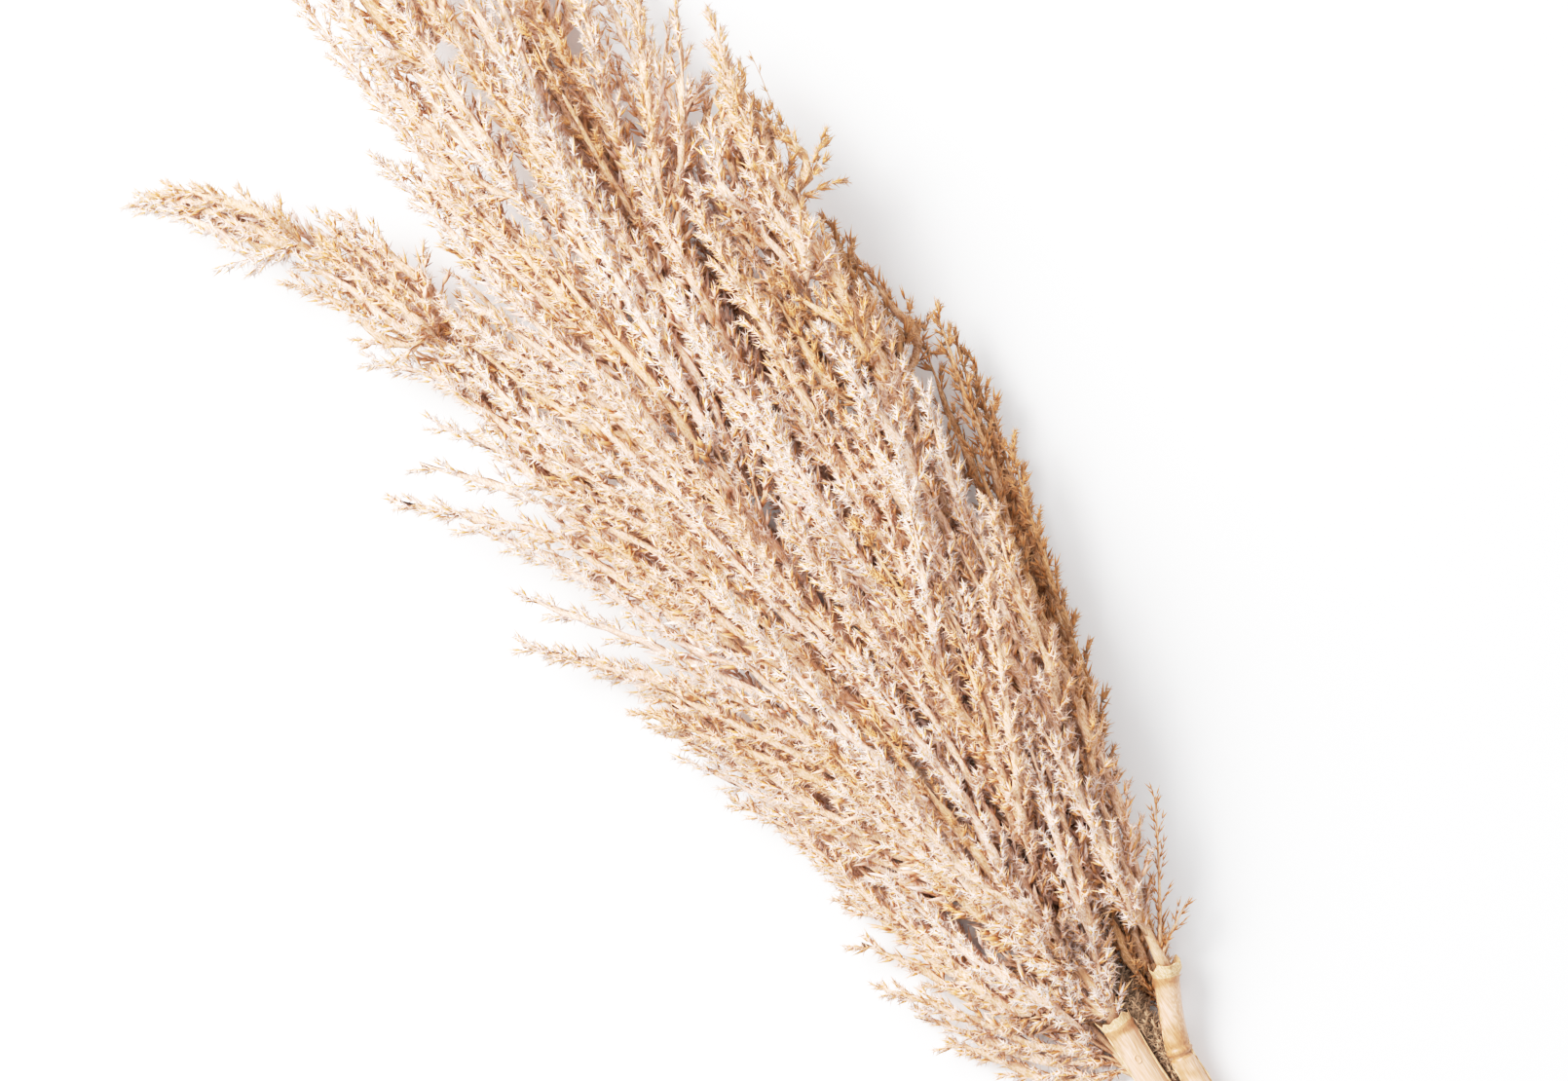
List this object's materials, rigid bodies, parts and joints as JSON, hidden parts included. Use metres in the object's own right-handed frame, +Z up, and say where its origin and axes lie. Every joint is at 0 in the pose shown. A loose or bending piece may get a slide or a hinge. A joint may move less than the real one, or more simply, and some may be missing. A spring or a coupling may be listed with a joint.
{
  "type": "bundle of pampas grass",
  "caption": "Bundle of dried pampas grass lying on its side: bare cut culms side by side, fanning out into long feathery plumes.",
  "frame": {"origin": "middle of the bundle's box, at the surface that the bundle lies on", "axes": "+Y from the cut ends to the plume tips, +X across to the lower right of the picture, +Z up"},
  "size_m": [0.2704, 0.779, 0.0995],
  "materials": {
    "culm": "dried straw-coloured grass stem, smooth, with fine lengthwise ribs",
    "plume": "dried cream plume of golden spikelets in fine white silky hairs"
  },
  "bodies": {
    "root": {"culm_top_left": "culm", "plume_top_left": "plume", "culm_top_right": "culm", "plume_top_right": "plume", "culm_low_left": "culm", "plume_low_left": "plume", "culm_low_middle": "culm", "plume_low_middle": "plume", "culm_low_right": "culm", "plume_low_right": "plume"}
  },
  "joints": []
}
